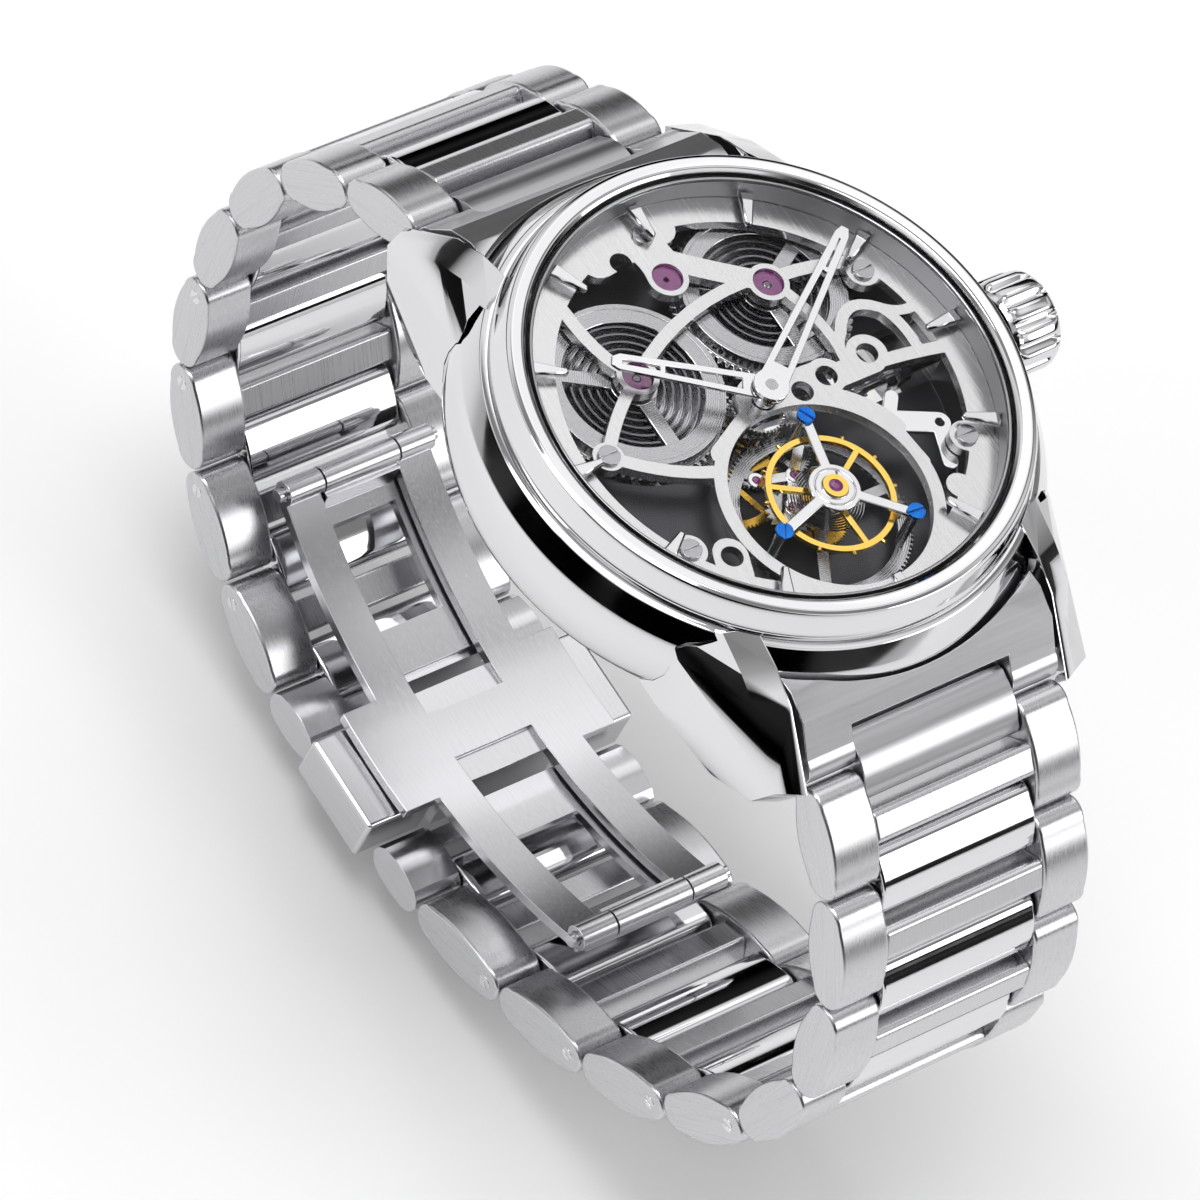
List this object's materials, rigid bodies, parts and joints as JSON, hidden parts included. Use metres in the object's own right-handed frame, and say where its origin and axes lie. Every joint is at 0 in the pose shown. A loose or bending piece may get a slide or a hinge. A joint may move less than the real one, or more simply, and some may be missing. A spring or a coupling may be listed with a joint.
{
  "type": "skeleton wristwatch",
  "caption": "Round steel skeleton wristwatch with an open dial, a tourbillon at 6 o'clock and a closed link bracelet on a folding butterfly clasp.",
  "frame": {"origin": "centre of the case back, on its outer face", "axes": "+Z out through the dial, +Y towards 12 o'clock, +X towards the crown at 3 o'clock"},
  "size_m": [0.0474, 0.0798, 0.0626],
  "materials": {
    "polished_steel": "mirror polished 316L stainless steel",
    "brushed_steel": "satin brushed 316L stainless steel",
    "movement_nickel": "rhodium plated brass, straight grained with bevelled edges",
    "movement_steel": "hardened steel, grained or polished",
    "gilt_brass": "gilt brass",
    "sapphire": "clear sapphire crystal",
    "blued_steel": "heat blued steel",
    "ruby": "synthetic ruby, polished",
    "seal_rubber": "black seal rubber"
  },
  "bodies": {
    "case": {"case_middle": "polished_steel", "lug_horns": "polished_steel", "bezel": "polished_steel", "crystal": "sapphire", "seals": "seal_rubber", "rehaut_ring": "brushed_steel", "hour_indices": "polished_steel", "case_back": "brushed_steel", "back_crystal": "sapphire", "end_links": "brushed_steel", "main_plate": "movement_nickel", "skeleton_bridge": "movement_nickel", "rear_bridge": "movement_nickel", "movement_screws": "movement_steel", "jewels": "ruby", "keyless_cover": "polished_steel", "fixed_wheel": "gilt_brass"},
    "setting_lever": {"setting_lever": "movement_steel"},
    "crown": {"crown": "polished_steel", "winding_stem": "movement_steel"},
    "barrel_left": {"barrel_left": "movement_nickel", "mainspring_left": "movement_steel"},
    "barrel_right": {"barrel_right": "movement_nickel", "mainspring_right": "movement_steel"},
    "ratchet_left": {"ratchet_left": "movement_steel"},
    "ratchet_right": {"ratchet_right": "movement_steel"},
    "centre_wheel": {"centre_wheel": "movement_nickel", "minute_hand": "polished_steel"},
    "hour_hand": {"hour_hand": "polished_steel"},
    "minute_wheel": {"minute_wheel": "movement_nickel"},
    "third_wheel": {"third_wheel": "gilt_brass"},
    "fourth_wheel": {"fourth_wheel": "movement_nickel"},
    "tourbillon_cage": {"cage_bridge": "polished_steel", "cage_base": "movement_nickel", "cage_screws": "blued_steel"},
    "balance": {"balance_wheel": "gilt_brass", "hairspring": "movement_steel"},
    "escape_wheel": {"escape_wheel": "movement_steel"},
    "pallet_fork": {"pallet_fork": "movement_steel"},
    "link_12_1": {"link_12_1": "brushed_steel"},
    "link_12_2": {"link_12_2": "brushed_steel"},
    "link_12_3": {"link_12_3": "brushed_steel"},
    "link_12_4": {"link_12_4": "brushed_steel"},
    "link_12_5": {"link_12_5": "brushed_steel"},
    "link_12_6": {"link_12_6": "brushed_steel"},
    "link_12_7": {"link_12_7": "brushed_steel"},
    "link_12_8": {"link_12_8": "brushed_steel"},
    "link_6_1": {"link_6_1": "brushed_steel"},
    "link_6_2": {"link_6_2": "brushed_steel"},
    "link_6_3": {"link_6_3": "brushed_steel"},
    "link_6_4": {"link_6_4": "brushed_steel"},
    "link_6_5": {"link_6_5": "brushed_steel"},
    "link_6_6": {"link_6_6": "brushed_steel"},
    "link_6_7": {"link_6_7": "brushed_steel"},
    "link_6_8": {"link_6_8": "brushed_steel"},
    "clasp_blade_12": {"clasp_blade_12": "polished_steel"},
    "clasp_frame": {"clasp_frame": "polished_steel"},
    "clasp_blade_6": {"clasp_blade_6": "polished_steel"},
    "push_button_3": {"push_button_3": "polished_steel"},
    "push_button_9": {"push_button_9": "polished_steel"}
  },
  "joints": [
    {"name": "link_12_1_hinge", "type": "hinge", "parent": "case", "child": "link_12_1", "pos_m": [0, 0.02591, 0.00134], "axis": [1, 0, 0], "range_deg": [0, 16.4]},
    {"name": "link_12_2_hinge", "type": "hinge", "parent": "link_12_1", "child": "link_12_2", "pos_m": [0, 0.0328, -0.00298], "axis": [1, 0, 0], "range_deg": [0, 19]},
    {"name": "link_12_3_hinge", "type": "hinge", "parent": "link_12_2", "child": "link_12_3", "pos_m": [0, 0.03784, -0.00943], "axis": [1, 0, 0], "range_deg": [0, 24.2]},
    {"name": "link_12_4_hinge", "type": "hinge", "parent": "link_12_3", "child": "link_12_4", "pos_m": [0, 0.04004, -0.01748], "axis": [1, 0, 0], "range_deg": [0, 16.4]},
    {"name": "link_12_5_hinge", "type": "hinge", "parent": "link_12_4", "child": "link_12_5", "pos_m": [0, 0.04, -0.02595], "axis": [1, 0, 0], "range_deg": [0, 12]},
    {"name": "link_12_6_hinge", "type": "hinge", "parent": "link_12_5", "child": "link_12_6", "pos_m": [0, 0.03787, -0.03416], "axis": [1, 0, 0], "range_deg": [0, 25]},
    {"name": "link_12_7_hinge", "type": "hinge", "parent": "link_12_6", "child": "link_12_7", "pos_m": [0, 0.03252, -0.04093], "axis": [1, 0, 0], "range_deg": [0, 18]},
    {"name": "link_12_8_hinge", "type": "hinge", "parent": "link_12_7", "child": "link_12_8", "pos_m": [0, 0.0253, -0.04589], "axis": [1, 0, 0], "range_deg": [0, 14]},
    {"name": "link_6_1_hinge", "type": "hinge", "parent": "case", "child": "link_6_1", "pos_m": [0, -0.0256, 0.00094], "axis": [-1, 0, 0], "range_deg": [0, 34.4]},
    {"name": "link_6_2_hinge", "type": "hinge", "parent": "link_6_1", "child": "link_6_2", "pos_m": [0, -0.03123, -0.00551], "axis": [-1, 0, 0], "range_deg": [0, 13.6]},
    {"name": "link_6_3_hinge", "type": "hinge", "parent": "link_6_2", "child": "link_6_3", "pos_m": [0, -0.03511, -0.01332], "axis": [-1, 0, 0], "range_deg": [0, 20]},
    {"name": "link_6_4_hinge", "type": "hinge", "parent": "link_6_3", "child": "link_6_4", "pos_m": [0, -0.03595, -0.02215], "axis": [-1, 0, 0], "range_deg": [0, 26]},
    {"name": "link_6_5_hinge", "type": "hinge", "parent": "link_6_4", "child": "link_6_5", "pos_m": [0, -0.03281, -0.03066], "axis": [-1, 0, 0], "range_deg": [0, 25]},
    {"name": "link_6_6_hinge", "type": "hinge", "parent": "link_6_5", "child": "link_6_6", "pos_m": [0, -0.02641, -0.03751], "axis": [-1, 0, 0], "range_deg": [0, 12]},
    {"name": "link_6_7_hinge", "type": "hinge", "parent": "link_6_6", "child": "link_6_7", "pos_m": [0, -0.01856, -0.04298], "axis": [-1, 0, 0], "range_deg": [0, 13]},
    {"name": "link_6_8_hinge", "type": "hinge", "parent": "link_6_7", "child": "link_6_8", "pos_m": [0, -0.00953, -0.04673], "axis": [-1, 0, 0], "range_deg": [0, 9]},
    {"name": "clasp_blade_12_hinge", "type": "hinge", "parent": "link_12_8", "child": "clasp_blade_12", "pos_m": [0, 0.01698, -0.0488], "axis": [1, 0, 0], "range_deg": [0, 21]},
    {"name": "clasp_fold", "type": "hinge", "parent": "clasp_blade_12", "child": "clasp_frame", "pos_m": [0, 0.02851, -0.03833], "axis": [-1, 0, 0], "range_deg": [0, 150]},
    {"name": "clasp_blade_6_hinge", "type": "hinge", "parent": "clasp_frame", "child": "clasp_blade_6", "pos_m": [0, -0.01185, -0.04009], "axis": [-1, 0, 0], "range_deg": [0, 150]},
    {"name": "push_button_3_press", "type": "slide", "parent": "clasp_frame", "child": "push_button_3", "axis": [-1, 0, 0], "range_m": [0, 0.0006], "stiffness_N_per_m": 800, "springref_m": -0.0008},
    {"name": "push_button_9_press", "type": "slide", "parent": "clasp_frame", "child": "push_button_9", "axis": [1, 0, 0], "range_m": [0, 0.0006], "stiffness_N_per_m": 800, "springref_m": -0.0008},
    {"name": "crown_pull", "type": "slide", "parent": "case", "child": "setting_lever", "axis": [1, 0, 0], "range_m": [0, 0.0012]},
    {"name": "crown_turn", "type": "hinge", "parent": "setting_lever", "child": "crown", "pos_m": [0.0235, 0, 0.0047], "axis": [1, 0, 0], "continuous": true},
    {"name": "cage_turn", "type": "hinge", "parent": "case", "child": "tourbillon_cage", "pos_m": [0, -0.0084, 0.0062], "axis": [0, 0, 1], "continuous": true},
    {"name": "fourth_turn", "type": "hinge", "parent": "case", "child": "fourth_wheel", "pos_m": [-0.00861, -0.00306, 0.0062], "axis": [0, 0, 1], "continuous": true},
    {"name": "third_turn", "type": "hinge", "parent": "case", "child": "third_wheel", "pos_m": [-0.00421, -0.00306, 0.0058], "axis": [0, 0, 1], "continuous": true},
    {"name": "minute_turn", "type": "hinge", "parent": "case", "child": "centre_wheel", "pos_m": [0, 0, 0.007], "axis": [0, 0, 1], "continuous": true},
    {"name": "barrel_left_turn", "type": "hinge", "parent": "case", "child": "barrel_left", "pos_m": [-0.00729, 0.00524, 0.007], "axis": [0, 0, 1], "continuous": true},
    {"name": "barrel_right_turn", "type": "hinge", "parent": "case", "child": "barrel_right", "pos_m": [0.00616, 0.0081, 0.007], "axis": [0, 0, 1], "continuous": true},
    {"name": "minute_wheel_turn", "type": "hinge", "parent": "case", "child": "minute_wheel", "pos_m": [0.00239, -0.00021, 0.0075], "axis": [0, 0, 1], "continuous": true},
    {"name": "hour_turn", "type": "hinge", "parent": "case", "child": "hour_hand", "pos_m": [0, 0, 0.009], "axis": [0, 0, 1], "continuous": true},
    {"name": "escape_turn", "type": "hinge", "parent": "tourbillon_cage", "child": "escape_wheel", "pos_m": [-0.00227, -0.00762, 0.0065], "axis": [0, 0, 1], "continuous": true},
    {"name": "balance_swing", "type": "hinge", "parent": "tourbillon_cage", "child": "balance", "pos_m": [0, -0.0084, 0.008], "axis": [0, 0, 1], "range_deg": [-150, 150], "stiffness_Nm_per_rad": 0.0000004},
    {"name": "pallet_rock", "type": "hinge", "parent": "tourbillon_cage", "child": "pallet_fork", "pos_m": [-0.0007, -0.0055, 0.0075], "axis": [0, 0, 1], "range_deg": [-5, 5]},
    {"name": "winding_turn", "type": "hinge", "parent": "case", "child": "ratchet_left", "pos_m": [-0.00729, 0.00524, 0.0034], "axis": [0, 0, 1], "continuous": true},
    {"name": "ratchet_right_turn", "type": "hinge", "parent": "case", "child": "ratchet_right", "pos_m": [0.00616, 0.0081, 0.0034], "axis": [0, 0, 1], "continuous": true}
  ],
  "couplings": [
    {"joint": "link_12_1_hinge", "follows": "clasp_fold", "ratio": 0.10933},
    {"joint": "link_12_2_hinge", "follows": "clasp_fold", "ratio": 0.12667},
    {"joint": "link_12_3_hinge", "follows": "clasp_fold", "ratio": 0.16133},
    {"joint": "link_12_4_hinge", "follows": "clasp_fold", "ratio": 0.10933},
    {"joint": "link_12_5_hinge", "follows": "clasp_fold", "ratio": 0.08},
    {"joint": "link_12_6_hinge", "follows": "clasp_fold", "ratio": 0.16667},
    {"joint": "link_12_7_hinge", "follows": "clasp_fold", "ratio": 0.12},
    {"joint": "link_12_8_hinge", "follows": "clasp_fold", "ratio": 0.093333},
    {"joint": "link_6_1_hinge", "follows": "clasp_fold", "ratio": 0.22933},
    {"joint": "link_6_2_hinge", "follows": "clasp_fold", "ratio": 0.090667},
    {"joint": "link_6_3_hinge", "follows": "clasp_fold", "ratio": 0.13333},
    {"joint": "link_6_4_hinge", "follows": "clasp_fold", "ratio": 0.17333},
    {"joint": "link_6_5_hinge", "follows": "clasp_fold", "ratio": 0.16667},
    {"joint": "link_6_6_hinge", "follows": "clasp_fold", "ratio": 0.08},
    {"joint": "link_6_7_hinge", "follows": "clasp_fold", "ratio": 0.086667},
    {"joint": "link_6_8_hinge", "follows": "clasp_fold", "ratio": 0.06},
    {"joint": "clasp_blade_12_hinge", "follows": "clasp_fold", "ratio": 0.14},
    {"joint": "clasp_blade_6_hinge", "follows": "clasp_fold", "ratio": 1},
    {"joint": "fourth_turn", "follows": "cage_turn", "ratio": -2},
    {"joint": "third_turn", "follows": "cage_turn", "ratio": 0.2},
    {"joint": "minute_turn", "follows": "cage_turn", "ratio": -0.016667},
    {"joint": "barrel_left_turn", "follows": "cage_turn", "ratio": 0.0045045},
    {"joint": "barrel_right_turn", "follows": "cage_turn", "ratio": -0.0047619},
    {"joint": "minute_wheel_turn", "follows": "cage_turn", "ratio": 0.0055556},
    {"joint": "hour_turn", "follows": "cage_turn", "ratio": -0.0013889},
    {"joint": "escape_turn", "follows": "cage_turn", "ratio": 9},
    {"joint": "ratchet_right_turn", "follows": "winding_turn", "ratio": -1}
  ]
}
